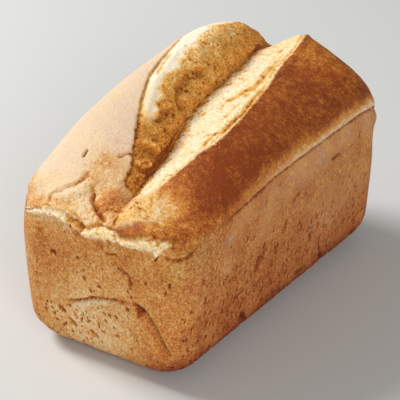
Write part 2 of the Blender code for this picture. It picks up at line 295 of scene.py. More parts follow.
# Dents and lumps: place, height and half width.
lumps = [
    ((103, -50, 78), 2.2, 5),
    ((103, -50, 67), -2.6, 6),
    ((-104, 50, 88), -2.6, 12),
    ((-9.5, 10.5, 112.5), -2.8, 1.9),
    ((-8, 7.6, 106.5), -2.2, 1.5),
    ((16.6, 11, 108.8), -1.8, 1.1),
    ((29.5, 12.8, 111.4), -1.8, 1.1),
    ((-39, 3.5, 101), -1.8, 1.3),
]
# Open holes: both ends, half width and depth.
holes = [
    ((-108.1, 26.4, 62.9), (-108.1, 24, 62.9), 1.2, 1.8),
    ((-106.5, 33.6, 24.8), (-106.5, 32.6, 24.8), 0.8, 1.4),
    ((-76.8, 27.2, 105.1), (-73, 27.5, 107.2), 0.6, 1.5),
    ((-106.7, 23.2, 29), (-106.6, 20.6, 27.4), 1.4, 2.2),
    ((-106.4, 16.8, 22.8), (-106.2, 14, 21), 1.5, 2.4),
    ((-106.2, 3, 20), (-106, 0, 18.6), 1.5, 2.4),
    ((-108.2, -3.6, 51.2), (-108.3, -5.3, 51.5), 0.8, 1.4),
    ((-106.7, 13.5, 28.7), (-106.5, 12.4, 25.9), 1, 1.4),
    ((-106.6, 8.6, 27.3), (-106.5, 9.4, 24.7), 0.8, 1.3),
    ((-106.6, -2.3, 27.4), (-106.5, -2.3, 25.1), 0.9, 1.4),
    ((-106, 21.9, 17.9), (-106.1, 19.6, 19.7), 0.8, 1.2),
    ((-106.2, 26.3, 20.2), (-106.2, 25.2, 19.9), 0.8, 1.2),
    ((-106.6, 18.1, 32), (-106.9, 16.2, 32.5), 0.9, 1.4),
    ((-106.4, -12.4, 23.7), (-106.4, -15.3, 23.8), 0.7, 1.2),
    ((-106.4, -4.2, 22.9), (-106.4, -6.2, 23), 0.7, 1.2),
    ((-107.9, -24.4, 51.5), (-107.9, -25.4, 51.8), 0.7, 1),
    ((-32.2, -53.9, 41.4), (-30.4, -54.2, 45.6), 2.8, 3.8),
    ((33, -53.9, 39.2), (32.3, -53.6, 35.6), 1.3, 2.2),
    ((24.6, -53.8, 36.5), (25.2, -53.4, 32.6), 1.6, 2.4),
    ((76, -52.9, 22.3), (82.6, -52.9, 24.4), 1, 2),
    ((-3.5, -54.6, 57.5), (-3.9, -54.4, 53.6), 1.2, 1.8),
    ((-13, -54.2, 46), (-13.2, -54.1, 43), 1.2, 1.8),
    ((-25.5, -54.3, 49), (-26.5, -54.2, 46.2), 1.3, 1.9),
    ((-16, -54.2, 38.5), (-16.4, -54.1, 35.5), 1.2, 1.8),
    ((-38.2, -54, 41.9), (-37.9, -53.9, 39.2), 0.9, 1.4),
    ((-60, -53.3, 29.6), (-60.1, -53.1, 26.5), 1, 1.5),
    ((-94.5, -52.9, 45.4), (-93.3, -53.2, 44.9), 0.8, 1.2),
    ((21.5, -53.5, 32.1), (21.9, -53.3, 29.2), 0.9, 1.5),
    ((-45, -52.5, 18.5), (-36, -47.5, 7), 2.4, 3.6),
    ((11, -52.4, 17.3), (19, -52.1, 15.9), 1.2, 1.6),
    ((35.7, -53.1, 25.9), (38.6, -52.4, 17), 0.8, 2.2),
    ((38.6, -52.4, 17), (49.5, -46.4, 5.3), 1.4, 5),
]


def follow(knots, at):
    # A smooth curve through the knots, whose first value is the place, read at the given places.
    knots = np.array(knots, float)
    place, values = knots[:, 0], knots[:, 1:]
    slope = np.gradient(values, place, axis=0)
    at = np.clip(at, place[0], place[-1])
    left = np.clip(np.searchsorted(place, at, side="right") - 1, 0, len(place) - 2)
    width = (place[left + 1] - place[left])[:, None]
    t = (at - place[left])[:, None] / width
    keep = (1 + 2 * t) * (1 - t) ** 2
    leave = t * (1 - t) ** 2 * width * slope[left]
    arrive = t * t * (t - 1) * width * slope[left + 1]
    return keep * values[left] + (1 - keep) * values[left + 1] + leave + arrive


def bezier(start, lead, approach, finish, t):
    t = t[:, None]
    rest = 1 - t
    return rest ** 3 * start + 3 * rest ** 2 * t * lead + 3 * rest * t ** 2 * approach + t ** 3 * finish


def smooth(value, low, high):
    t = np.clip((value - low) / (high - low), 0, 1)
    return t * t * (3 - 2 * t)


def bell(distance, width):
    return np.exp(-(distance / width) ** 2)


def offset(y, z):
    return np.column_stack(np.broadcast_arrays(y, z))


def ripple(points, size, seed):
    # Smooth noise from about -1 to 1, with bumps about as wide as size.
    cells = 32
    slopes = np.random.default_rng(seed).normal(size=(cells, cells, cells, 3))
    scaled = points / size
    base = np.floor(scaled).astype(int)
    part = scaled - base
    fade = part ** 3 * (part * (6 * part - 15) + 10)
    total = np.zeros(len(points))
    for corner in np.ndindex(2, 2, 2):
        cell = (base + corner) % cells
        slope = slopes[cell[:, 0], cell[:, 1], cell[:, 2]]
        weight = np.where(corner, fade, 1 - fade).prod(1)
        total += weight * (slope * (part - corner)).sum(1)
    return total


def boxLattice(counts):
    # Places, from 0 to 1, of the points on a box's skin, and its quads facing out.
    grid = np.meshgrid(*(np.arange(n + 1) for n in counts), indexing="ij")
    skin = sum(g % n == 0 for g, n in zip(grid, counts)) > 0
    number = np.full(skin.shape, -1)
    number[skin] = np.arange(skin.sum())
    quads = []
    for axis in range(3):
        for end in (0, -1):
            sheet = np.take(number, end, axis=axis)
            quad = np.stack([sheet[:-1, :-1], sheet[1:, :-1], sheet[1:, 1:], sheet[:-1, 1:]], -1)
            outward = (end == -1) != (axis == 1)
            quads.append(quad.reshape(-1, 4)[:, :: 1 if outward else -1])
    places = np.stack([g[skin] / n for g, n in zip(grid, counts)], -1)
    return places, np.concatenate(quads)


def standIn(height):
    # How far the wall stands in from the rim's outline at a height: rounded foot, lean, and a rim drawn in.
    drop = np.clip(loaf["baseRadius"] - height, 0, loaf["baseRadius"])
    level = np.clip(height / loaf["rimHeight"], 0, 1)
    rounded = loaf["baseRadius"] - np.sqrt(loaf["baseRadius"] ** 2 - drop ** 2)
    return rounded + loaf["wallLean"] * (1 - level) ** 1.6 + loaf["rimDraw"] * level ** 4


def rimAt(name, place):
    return follow(loaf[name], place)[:, 0]


def nearRims(x, y):
    # Heights of the rim on the end and on the long side that are nearer.
    end = np.where(x < 0, rimAt("frontRim", y), rimAt("backRim", y))
    return end, np.where(y < 0, rimAt("rightRim", x), rimAt("leftRim", x))


def topSection(x, v):
    # (Y, Z) of the risen top at stations x, with v running from the right rim to the left one.
    right, left = offset(-halfWidth, rimAt("rightRim", x)), offset(halfWidth, rimAt("leftRim", x))
    ear, valley, crown = (follow(loaf[name], x) for name in ("ear", "valley", "crown"))
    flank, wall, side = (ear - right)[:, 1], (crown - valley)[:, 1], (crown - left)[:, 1]
    swell = 4 + 2 * smooth(x, 60, 110)
    fall = 0.14 + 0.05 * smooth(x, 40, 100)
    curves = [
        (right, right + offset(-swell, 0.45 * flank), ear - offset(15, fall * flank), ear),
        (ear, ear + (valley - ear) * [0.3, 0.1], valley + (ear - valley) * [0.35, 0.2], valley),
        (valley, valley + offset(3, 0.82 * wall), crown + offset(-12, 6), crown),
        (crown, crown + offset(7, -5), left + offset(4, 0.45 * side), left),
    ]
    section = np.empty((len(x), 2))
    for curve, low, high in zip(curves, loaf["spans"], loaf["spans"][1:]):
        inside = (v >= low) & (v <= high)
        section[inside] = bezier(*(points[inside] for points in curve), (v[inside] - low) / (high - low))
    return section


def roll(distance, length):
    return np.sqrt(1 - np.clip(1 - distance / length, 0, 1) ** 2)


def roundCorners(points):
    # Pulls the four upright edges in to arcs.
    depth = standIn(points[:, 2])
    radius = loaf["cornerRadius"] * (1 - depth / (loaf["cornerRadius"] + loaf["baseRadius"]))
    core = np.column_stack([halfLength - depth - radius, halfWidth - depth - radius])
    share = np.clip((np.abs(points[:, :2]) - core) / radius[:, None], 0, 1.25)
    bent = core + radius[:, None] * share * np.sqrt(1 - share[:, ::-1] ** 2 / 2)
    corner = (share > 0).all(1)
    result = points.copy()
    result[corner, :2] = (np.sign(points[:, :2]) * bent)[corner]
    return result


def plainForm(places):
    u, v, w = places.T
    along = 0.6 * (2 * u - 1) - 0.4 * np.cos(np.pi * u)
    across = 2 * v - 1
    x, y = halfLength * along, halfWidth * across
    endRim, sideRim = nearRims(x, y)
    rim = np.where((u == 0) | (u == 1), endRim, sideRim)
    turn = np.minimum(w / loaf["baseShare"], 1) * np.pi / 2
    lift = (w - loaf["baseShare"]) / (1 - loaf["baseShare"])
    foot = loaf["baseRadius"] * (1 - np.cos(turn))
    height = np.where(lift < 0, foot, loaf["baseRadius"] + (rim - loaf["baseRadius"]) * lift)
    depth = standIn(height)
    points = np.column_stack([along * (halfLength - depth), across * (halfWidth - depth), height])

    top = w == 1
    x, y, v, endRim = x[top], y[top], v[top], endRim[top]
    section = topSection(x, v)
    front, back = halfLength + x, halfLength - x
    settle = smooth(front, 0, loaf["frontBlend"]) * smooth(back, 0, loaf["backBlend"])
    rise = roll(front, loaf["frontRoll"]) * roll(back, loaf["backRoll"])
    points[top, 0] = x * (1 - loaf["rimDraw"] / halfLength)
    points[top, 1] = (y + (section[:, 0] - y) * settle) * (1 - loaf["rimDraw"] / halfWidth)
    points[top, 2] = endRim + (section[:, 1] - endRim) * rise
    return roundCorners(points)


def pointNormals(points, quads):
    first, second = points[quads[:, 2]] - points[quads[:, 0]], points[quads[:, 3]] - points[quads[:, 1]]
    face = np.cross(first, second)
    normals = np.zeros_like(points)
    for corner in range(4):
        for axis in range(3):
            normals[:, axis] += np.bincount(quads[:, corner], face[:, axis], len(points))
    return normals / np.linalg.norm(normals, axis=1, keepdims=True)


def nearLine(points, normals, knots, reach=30.0, samples=48):
    # Distance of each point to a line laid on the surface, positive on its left, and its place along it.
    # Points further off than reach get a distance of twice reach, on neither side.
    knots = np.column_stack([np.linspace(0, 1, len(knots)), knots])
    line = follow(knots, np.linspace(0, 1, samples))
    near = ((points > line.min(0) - reach) & (points < line.max(0) + reach)).all(1)
    found, facing = points[near], normals[near]
    for number, sample in enumerate(line):
        nearest = np.argmin(((found - sample) ** 2).sum(1))
        line[number] -= ((sample - found[nearest]) @ facing[nearest]) * facing[nearest]
    distance, place = np.full(len(found), np.inf), np.zeros(len(found))
    for number in range(samples - 1):
        start, run = line[number], line[number + 1] - line[number]
        t = np.clip((found - start) @ run / (run @ run), 0, 1)
        gap = found - start - t[:, None] * run
        length = np.linalg.norm(gap, axis=1)
        side = np.where((np.cross(run, gap) * facing).sum(1) < 0, -1, 1)
        nearer = length < np.abs(distance)
        distance[nearer] = (side * length)[nearer]
        place[nearer] = ((number + t) / (samples - 1))[nearer]
    allDistance, allPlace = np.full(len(points), 2 * reach), np.zeros(len(points))
    allDistance[near], allPlace[near] = distance, place
    return allDistance, allPlace


def ends(place, first, last):
    # 1 along a line, easing to 0 over the given shares at its two ends.
    return smooth(place, 0, first) * smooth(1 - place, 0, last)


def addAlong(total, found, rows):
    # Adds what each row of a table says along its line.
    for name, height, left, width, first, last in rows:
        distance, place = found[name]
        total += height * bell(distance - left, width) * ends(place, first, last)
    return total


def near(points, centre, reach):
    return bell(np.linalg.norm(points - centre, axis=1), reach)


def foldWidth(place):
    # How wide the fold is along its line, and never 0, because distances are divided by it.
    return np.maximum(fold["width"] * (1 - fold["taper"] * place) * smooth(place, 0, 0.2), 0.1)


def foldRelief(distance, place):
    edge = fold["edge"]
    floor = np.clip(1 + distance / foldWidth(place), 0, 1) * (1 - smooth(distance, -edge, edge))
    lip = bell(distance - 3 * edge, 3 * edge)
    return ends(place, 0.1, 0.1) * (fold["lip"] * lip - fold["depth"] * floor)


def hollowed(points, spread=1.0):
    # How far each point lies inside an open hole, from 0 to 1, and how deep that is in millimetres.
    # A spread over 1 takes in the crust around the holes.
    inside, depth = np.zeros(len(points)), np.zeros(len(points))
    for start, finish, width, deep in holes:
        start, run = np.array(start), np.subtract(finish, start)
        t = np.clip((points - start) @ run / (run @ run), 0, 1)
        gap = np.linalg.norm(points - start - t[:, None] * run, axis=1)
        share = 1 - smooth(gap, 0.6 * width * spread, 1.3 * width * spread)
        inside, depth = np.maximum(inside, share), np.maximum(depth, deep * share)
    return inside, depth


def relief(points, found):
    # How far each point stands out from the plain form.
    push = addAlong(foldRelief(*found["fold"]), found, beads)
    for name, height, edge, reach, first, last in steps:
        distance, place = found[name]
        rise = smooth(distance, -edge, edge) * np.exp(-np.clip(distance, 0, None) / reach)
        push += height * rise * ends(place, first, last)
    for centre, height, width in lumps:
        push += height * near(points, centre, width)
    push -= loaf["footRipple"] * np.abs(ripple(points, 6, 9)) * (1 - smooth(points[:, 2], 6, 22))
    return push - hollowed(points)[1]


# How dark the crust is baked, from 0 for floured cream to 1 for dark brown, and how much the parts of it
# are darker or paler than the walls; the darker foot of the right wall is painted shade.
baking = {
    "walls": 0.56,
    "frontPaler": 0.05,
    "rightDarker": 0.1,
    "footShade": 0.34,
    "footEdgeShade": 0.25,
    "rimDarker": 0.04,
    "flankDarker": 0.31,
    "farFlankPaler": 0.19,
    "leftPaler": 0.42,
    "leftFrontPaler": 0.06,
}
# How much flour lies on the crust left of the split, less at its front and by the lip, and along the rim.
flouring = {"left": 0.72, "frontLess": 0.25, "lipLess": 0.4, "rim": 0.34}
# How toasted the bare crumb is, from 0 for white to 1 for dark brown, and what each part of it adds; along
# the valley and in the dents it adds painted shade, and the stretched skin is paler partly as a painted
# highlight.
toasting = {
    "slope": 0.13,
    "wall": 0.48,
    # painted shade along the valley's floor
    "valley": 0.15,
    "stretchedPaleAndHighlight": 0.12,
    "nearWall": 0.14,
    "front": 0.22,
    "back": 0.06,
    "crownLess": 0.17,
    "ledge": 0.06,
    "ledgeLeftLess": 0.1,
    # painted shade in the crumb's dents
    "dentShade": 0.5,
}
# Patches of another bake, and the marked patches of painted light and painted shade: place, reach and
# change.
bakePatches = [
    ((-108, 34, 58), 18, 0.13),
    ((-107, 6, 77), 8, 0.1),
    ((-107, 8, 80), 3.2, 0.24),
    ((-108, -6, 77.5), 2.4, 0.24),
    ((-108, -23, 75), 6, 0.06),
    # Paler low on the front end: partly its bake and partly painted light where the lamps leave it dim.
    ((-108, 2, 24), 30, -0.36),
    ((-108, 20, 84), 14, -0.16),
    ((-107, 37, 88), 9, -0.3),
    ((-98, 27, 95), 9, -0.14),
    ((-106, 48, 55), 11, -0.18),
    ((-91, -3, 94), 9, 0.56),
    ((-101, -16, 89), 8, 0.3),
    ((-104, -22, 91), 7, 0.18),
    ((-98, 2, 91), 6, 0.26),
    ((-102.5, -37.9, 91.9), 6, 0.06),
    ((-94, -46, 88), 7, 0.2),
    ((-66, -46, 97), 13, 0.26),
    ((-79, -52, 90), 8, 0.16),
    ((-82, -27, 98), 8, -0.26),
    ((-90, -35, 94), 11, -0.3),
    ((-60, -27, 103), 6, 0.12),
    ((-73, 11, 104), 8, 0.26),
    ((-86, 11, 98), 5, 0.16),
    ((-36, -46, 105), 22, 0.13),
    ((18, -43, 108), 24, -0.05),
    ((-68, -34, 101), 8, -0.15),
    ((104, -50, 83), 4, 0.35),
    ((80, -20, 121), 18, -0.2),
    # Painted shade low on the right wall, towards its foot.
    ((0, -52, 18), 60, 0.06),
    ((-108, 33, 73), 1.8, 0.3),
]
# Where flour lies: place, reach and amount.
flourPatches = [
    ((10, -54, 82), 15, 0.42),
    ((35, -54, 84), 13, 0.42),
    ((60, -54, 85), 13, 0.42),
    ((85, -54, 86), 12, 0.4),
    ((100, -52, 78), 10, 0.4),
    ((-18, -54, 80), 16, 0.4),
    ((-45, -54, 82), 12, 0.35),
    ((-61, -54.5, 73), 8, 0.45),
    ((-62, -54.5, 55), 6, 0.45),
    ((-30, -54, 58), 12, 0.25),
    ((-80, 1, 99), 4.5, 0.2),
    ((80, -54, 48), 26, 0.3),
    ((35, -54, 42), 28, 0.4),
]


def patched(points, patches):
    total = np.zeros(len(points))
    for place, reach, change in patches:
        total += change * near(points, place, reach)
    return total


def rimHeight(points):
    # Height of the rim of the wall that is nearer.
    x, y = points[:, 0], points[:, 1]
    end, side = nearRims(x, y)
    nearer = smooth((halfWidth - np.abs(y)) - (halfLength - np.abs(x)), -4, 4)
    return side + (end - side) * nearer


def surfaceMasks(points, found):
    # Where each finish lies, from 0 to 1: the relief and the material read these as attributes.
    x, y, z = points.T
    leftOf = {name: found[name][0] for name in found}
    front, back = smooth(-x, 92, 104), smooth(x, 92, 104)

    # Bare crumb: the split, whose steep left wall is smooth where the skin stretched, and the torn ledge.
    ragged = 0.6 * ripple(points, 3.5, 21) + 0.5 * ripple(points, 1.6, 22)
    soft = 2.5 * smooth(-x, 72, 88)
    split = smooth(leftOf["earEdge"] + (0.3 + 0.6 * soft) * ragged, -0.3 - soft, 0.5 + soft)
    split *= smooth(-leftOf["crumbLeft"] + ragged, -0.3, 0.5)
    farEnd = 1 - smooth(x + 4 * ripple(points, 8, 29), 98, 105)
    split *= smooth(z + 3 * ripple(points, 6, 28), 84, 89) * farEnd
    ledge = smooth(-leftOf["ledge"] + ragged, -0.2, 0.5)
    ledge *= smooth(leftOf["ledgeFoot"] + 2.4 * ragged, -0.8, 0.8)
    ledge *= smooth(ends(found["ledge"][1], 0.05, 0.14) + 0.3 * ragged, 0.3, 0.5)
    wall = split * smooth(leftOf["valley"] + 2 * ragged, -1, 1)
    fromLip = np.clip(-leftOf["lip"], 0, None)
    stretched = wall * (1 - smooth(fromLip + 4 * ripple(points, 7, 3), 7, 12)) * smooth(x, -46, -30)

    # Crust: the risen flank right of the split, the top left of it, and the walls below the rim, which is
    # ragged and soft on the left wall and the back end.
    above = z - rimHeight(points)
    softRim = np.maximum(smooth(y, 44, 52), back * smooth(y, -30, -10))
    top = smooth(above + softRim * 5 * ripple(points, 9, 27), -1 - 5 * softRim, 3 + 11 * softRim)
    rightSide = smooth(-y, 20, 40) * (1 - top)
    frontSide = front * (1 - top)
    farOff = leftOf["earEdge"] > 55
    right = smooth(-leftOf["earEdge"] - np.where(farOff, 100, 0), -0.5, 0.5) * (1 - split)
    right = np.maximum(right, smooth(-y, 38, 46) * farOff)
    risen = top * right * (1 - 0.5 * smooth(x, 96, 107))
    backFade = 1 - 0.85 * smooth(x + 5 * ripple(points, 9, 30), 92, 106)
    leftTop = top * (1 - right) * (1 - split) * backFade

    # Streaks along the lines, and the fold's painted shade, darkest on its floor near its top, with a
    # painted highlight along its raised edge.
    tint = addAlong(np.zeros(len(points)), found, tints)
    tint *= 1 + 0.9 * ripple(points, 3, 23)
    distance, place = found["fold"]
    inFold = smooth(1 + distance / foldWidth(place), 0, 0.25) * (1 - smooth(distance, -0.8, 0.4))
    inFold *= ends(place, 0.1, 0.05)
    tint += inFold * (0.72 - 0.6 * smooth(place, 0.12, 0.42))
    tint -= 0.16 * bell(distance - 0.9, 0.8) * ends(place, 0.2, 0.1)

    hollow = hollowed(points)[0]
    frontPaler = baking["frontPaler"] * frontSide * (1 + 1.6 * smooth(z, 70, 84))
    bake = baking["walls"] - frontPaler + baking["rightDarker"] * rightSide * (1 - smooth(z, 20, 60))
    # Painted shade: the foot of the right wall is darkened towards the floor, where the loaf shades itself.
    height = z + 4 * ripple(points, 12, 26)
    foot = baking["footShade"] * (1 - smooth(height, 6, 22))
    bake += rightSide * (foot + baking["footEdgeShade"] * (1 - smooth(height, 2, 9)))
    flank = baking["rimDarker"] + baking["flankDarker"] * smooth(above, 3, 9)
    bake += risen * flank * (0.2 + 0.8 * smooth(x, -95, -45))
    bake -= risen * baking["farFlankPaler"] * smooth(x, 75, 105)
    bake -= leftTop * (baking["leftPaler"] + baking["leftFrontPaler"] * smooth(-x, 80, 100))
    bake += patched(points, bakePatches) + tint

    byLip = flouring["lipLess"] * smooth(-x, 62, 78) * (1 - smooth(y, 16, 28))
    flour = leftTop * (flouring["left"] - flouring["frontLess"] * smooth(-x, 84, 94) - byLip)
    flour = (flour + patched(points, flourPatches) * (1 - split)) * (1 - hollow)
    bandWidth = 2.6 + 1.6 * smooth(x, 50, 100)
    onBand = flouring["rim"] * bell(leftOf["rimCrease"] - bandWidth, bandWidth)
    flour += onBand * ends(found["rimCrease"][1], 0.8, 0.05)

    # Painted shade: the crumb wall is darkened along the valley's floor.
    valleyShade = bell(leftOf["valley"], 4) * smooth(x, -90, -70)
    onWall = toasting["wall"] * (1 - stretched) + toasting["valley"] * valleyShade
    # Where the skin stretched the crumb is paler: partly its own pale skin and partly a painted highlight.
    onWall = onWall - toasting["stretchedPaleAndHighlight"] * stretched + toasting["nearWall"] * smooth(-x, -5, 35)
    toast = toasting["slope"] + wall * onWall
    toast += (toasting["front"] * smooth(-x, 76, 88) + toasting["back"] * smooth(x, 50, 90)) * split
    onCrown = smooth(z + 3 * ripple(points, 12, 24), 122, 127)
    toast -= toasting["crownLess"] * wall * (1 - stretched) * onCrown
    onLedge = (toasting["ledge"] - toasting["ledgeLeftLess"] * smooth(y, 12, 24)) * ledge
    # Painted shade: the crumb is darkened in its dents.
    dented = sum(near(points, centre, width) for centre, height, width in lumps)
    toast += tint + onLedge + toasting["dentShade"] * dented * split

    # Pores: many low on the right wall, fewer on the others, and none by an open hole or under the foot.
    lower = 1 - smooth(z + 8 * ripple(points, 30, 25), 34, 66)
    sidePores = rightSide * (0.1 + 0.9 * lower) * smooth(x, -106, -80)
    frontPores = frontSide * (0.08 + 0.6 * (1 - smooth(z, 26, 42)) * smooth(y, -16, 4))
    backPores = back * (1 - top) * lower * 0.32 + smooth(y, 40, 50) * (1 - top) * lower * 0.38
    porous = np.maximum.reduce([sidePores, frontPores, backPores]) * (1 - hollowed(points, 2.2)[0])
    # They are laid out along X - Y, which hardly changes round two of the corners, and fade there.
    corner = 600 * (y > 0) - x * y
    porous *= smooth(z, 1.5, 5) * (1 - smooth(corner, 4500, 5100))

    golden = top * (1 - split) * np.maximum(right, 0.6 * smooth(-x, 84, 92))
    golden += frontSide * (0.35 + 0.25 * smooth(z, 62, 80))
    ochre = 0.8 * bell(leftOf["ochre"], 9) * ends(found["ochre"][1], 0.3, 0.3)
    return {
        "crumb": np.maximum(split, ledge),
        "wall": wall * (1 - 0.85 * stretched),
        "fluff": np.clip(np.maximum(split, ledge) - wall, 0, 1),
        "bake": np.clip(bake, 0, 1.1),
        "toast": np.clip(toast, 0, 1.1),
        "flour": np.clip(flour, 0, 1),
        "pores": np.clip(porous, 0, 1),
        "hollow": hollow,
        "blisters": leftTop * (0.35 + 0.65 * smooth(-x, 40, 80)) + 0.5 * risen * smooth(-x, 40, 75),
        "risen": risen,
        "golden": golden,
        "ochre": ochre * (1 - split) * (1 - ledge),
        "blotches": leftTop * (0.25 + 0.75 * smooth(-x, 45, 75)) * smooth(-y, -40, -22),
    }


def fitted(points, low, high):
    # The points, stretched by a fraction of a millimetre so that they just fill the box.
    start, size = points.min(0), np.ptp(points, axis=0)
    return low + (points - start) * (high - low) / size


def loafSkin():
    # The loaf in millimetres: its points, quads and masks, without the finest relief.
    places, quads = boxLattice(loaf["lattice"])
    points = plainForm(places)
    normals = pointNormals(points, quads)
    tear = 0.6 * ripple(points, 3.5, 1) + 0.45 * ripple(points, 1.7, 2)
    found = {}
    for name, knots in lines.items():
        distance, place = nearLine(points, normals, knots)
        found[name] = (distance + tear * calm.get(name, 1), place)
    masks = surfaceMasks(points, found)
    push = relief(points, found) * smooth(points[:, 2], 0, 4)
    points += normals * push[:, None]
    return fitted(points, *(np.array(corner) / mm for corner in cadBox)), quads, masks


class Wire:
    # A node's output, which adds Math nodes when it is used in an expression.
    def __init__(self, board, socket):
        self.board = board
        self.socket = socket

    def math(self, operation, *values):
        return self.board.add("ShaderNodeMath", {"operation": operation}, dict(enumerate(values)))

    def vector(self, operation, inputs):
        return self.board.add("ShaderNodeVectorMath", {"operation": operation}, {0: self, **inputs})

    def __add__(self, other):
        return self.math("ADD", self, other)

    def __radd__(self, other):
        return self.math("ADD", other, self)

    def __sub__(self, other):
        return self.math("SUBTRACT", self, other)

    def __rsub__(self, other):
        return self.math("SUBTRACT", other, self)

    def __mul__(self, other):
        return self.math("MULTIPLY", self, other)

    def __rmul__(self, other):
        return self.math("MULTIPLY", other, self)

    def __rtruediv__(self, other):
        return self.math("DIVIDE", other, self)

    def __pow__(self, other):
        return self.math("POWER", self, other)

    def most(self, other):
        return self.math("MAXIMUM", self, other)

    def ramp(self, low, high, first=0.0, last=1.0):
        # Eases from first to last while the value goes from low to high.
        inputs = {"Value": self, "From Min": low, "From Max": high, "To Min": first, "To Max": last}
        return self.board.add("ShaderNodeMapRange", {"interpolation_type": "SMOOTHSTEP"}, inputs)

    def part(self, name):
        return Wire(self.board, self.socket.node.outputs[name])

    def axes(self):
        return self.board.add("ShaderNodeSeparateXYZ", {}, {"Vector": self})

    def chance(self):
        # Random numbers of each cell, from its colour.
        return self.part("Color").axes()

    def scaled(self, factors):
        return self.vector("MULTIPLY", {1: factors})

    def plus(self, other):
        return self.vector("ADD", {1: other})

    def times(self, amount):
        return self.vector("SCALE", {"Scale": amount})


class Board:
    # A node tree that nodes are added to.
    def __init__(self, tree):
        self.tree = tree

    def add(self, kind, settings=None, inputs=None, output=0):
        node = self.tree.nodes.new(kind)
        for name, value in (settings or {}).items():
            if name == "stops":
                self.setStops(node.color_ramp, value)
            else:
                setattr(node, name, value)
        for name, value in (inputs or {}).items():
            if isinstance(value, Wire):
                self.tree.links.new(value.socket, node.inputs[name])
            else:
                node.inputs[name].default_value = value
        return Wire(self, node.outputs[output]) if len(node.outputs) else node

    def setStops(self, colorRamp, stops):
        while len(colorRamp.elements) < len(stops):
            colorRamp.elements.new(0.5)
        for element, (place, colour) in zip(colorRamp.elements, stops):
            element.position = place
            element.color = (*colour, 1)

    def mix(self, amount, first, second, blend="MIX"):
        # The Mix node's colour sockets are its seventh and eighth inputs and its third output.
        settings = {"data_type": "RGBA", "blend_type": blend}
        return self.add("ShaderNodeMix", settings, {0: amount, 6: first, 7: second}, output=2)

    def noise(self, place, size, detail=2.0, roughness=0.5, output=0):
        inputs = {"Vector": place, "Scale": 1 / size, "Detail": detail, "Roughness": roughness}
        return self.add("ShaderNodeTexNoise", {}, inputs, output)

    def uneven(self, place, size, detail=2.0, roughness=0.5):
        # Noise from about -0.5 to 0.5.
        return self.noise(place, size, detail, roughness) - 0.5

    def sway(self, place, size, reach):
        # A vector that strays by up to half of reach each way.
        return self.noise(place, size, output="Color").plus((-0.5, -0.5, -0.5)).times(reach)

    def cells(self, place, size, kind="3D"):
        settings = {"feature": "F1", "voronoi_dimensions": kind}
        return self.add("ShaderNodeTexVoronoi", settings, {"Vector": place, "Scale": 1 / size})


# What a user would change of the relief, in millimetres; poreStretch under 1 makes the pores tall.
surface = {
    "bubbleSize": 3.2,
    "bubbleDepth": 2.0,
    "grainSize": 1.5,
    "grainDepth": 1.15,
    "blisterSize": 2.4,
    "blisterHeight": 0.5,
    "poreSpacing": 4.0,
    "poreStretch": 0.6,
    "poreDepth": 1.3,
    "wrinkleDepth": 0.5,
}
# What a user would change of the finish: the patterns' sizes in millimetres, how much each pattern darkens
# the crust or, in the flour's case, hides it, and the gloss and bump.
finish = {
    "patchSize": 12.0,
    "blotchSize": 5.0,
    "mottleSize": 2.6,
    "fineSize": 1.15,
    "wrinkleSize": 1.6,
    "pitSpacing": 1.7,
    "dotSpacing": 2.4,
    "patches": 0.42,
    "blotches": 0.15,
    "flankBlotches": 0.62,
    "mottle": 0.75,
    "flankMottle": 0.5,
    "fine": 1.45,
    "wrinkles": 0.33,
    "pits": 0.26,
    "dots": 0.1,
    # painted shade inside the pores and the open holes
    "pores": 0.38,
    "holes": 0.5,
    "blush": 0.3,
    "flour": 0.66,
    "flourPits": 0.6,
    "flourBlush": 0.2,
    "roughness": 0.62,
    "gloss": 0.18,
    "bump": 0.8,
    "bumpReach": 0.5,
}


def bubbles(board, place, size):
    # How deep the torn crumb's open bubbles are, from 0 to about 1.5: large cells of which some are
    # deep, small cells in them, and the strands between. Size is in millimetres.
    warped = place.plus(board.sway(place, size * (2.2 * mm), size * (1.6 * mm)))
    large = board.cells(warped, size * mm)
    small = board.cells(warped, size * (0.5 * mm))
    strands = board.uneven(warped, size * (0.9 * mm), 1.0).math("ABSOLUTE").ramp(0.0, 0.12)
    crowd = board.noise(place, size * (2.4 * mm)).ramp(0.42, 0.6, 0.1, 1.0)
    deep = large.ramp(0.1, 0.5, 1.0, 0.0) * large.chance().ramp(0.35, 0.7, 0.15, 1.0) * crowd
    shallow = small.ramp(0.1, 0.5, 1.0, 0.0) * small.chance().ramp(0.3, 0.6, 0.1, 1.0)
    return deep * 0.8 + shallow * 0.45 + strands * 0.35


def grain(board, place, size):
    # Fine torn crumb, from about -0.5 to 0.5 deep, with a few open holes.
    fluff = 0.5 - board.noise(place, size * mm, 3.0, 0.6)
    cell = board.cells(place, size * (1.6 * mm))
    return fluff * 1.4 + cell.ramp(0.08, 0.4, 1.0, 0.0) * cell.chance().ramp(0.62, 0.8) * 0.5


def pores(board, place, spacing, share, stretch):
    # Open pores, 1 inside and 0 outside: those of a share of the cells. The walls are laid flat along
    # X - Y; the pores are drawn out upwards and lean on the long walls, and are rounder on the front one.
    axes = place.axes()
    front = axes.ramp(-106 * mm, -103 * mm, 1.0, 0.0)
    height = axes.part("Z")
    along = axes - axes.part("Y") - height * (1.0 - front) * 0.25
    flat = board.add("ShaderNodeCombineXYZ", {}, {"X": along, "Y": height * (stretch + front * 0.3)})
    flat = flat.plus(board.sway(place, 4 * mm, 1.4 * mm))
    found = []
    for size, part in ((1.0, 0.95), (0.55, 0.55)):
        cell = board.cells(flat, spacing * (size * mm), "2D")
        chance = cell.chance()
        radius = 0.18 + chance.part("Y") ** 2.0 * 0.2
        chosen = (share * part - chance).ramp(0.0, 0.04)
        found.append(cell.ramp(radius * 0.7, radius, 1.0, 0.0) * chosen)
    return found[0].most(found[1])


def streaks(board, place, size):
    # Fine wrinkles that run down the crust.
    return board.uneven(place.scaled((1, 0.4, 0.4)), size * mm, 2.0, 0.6)


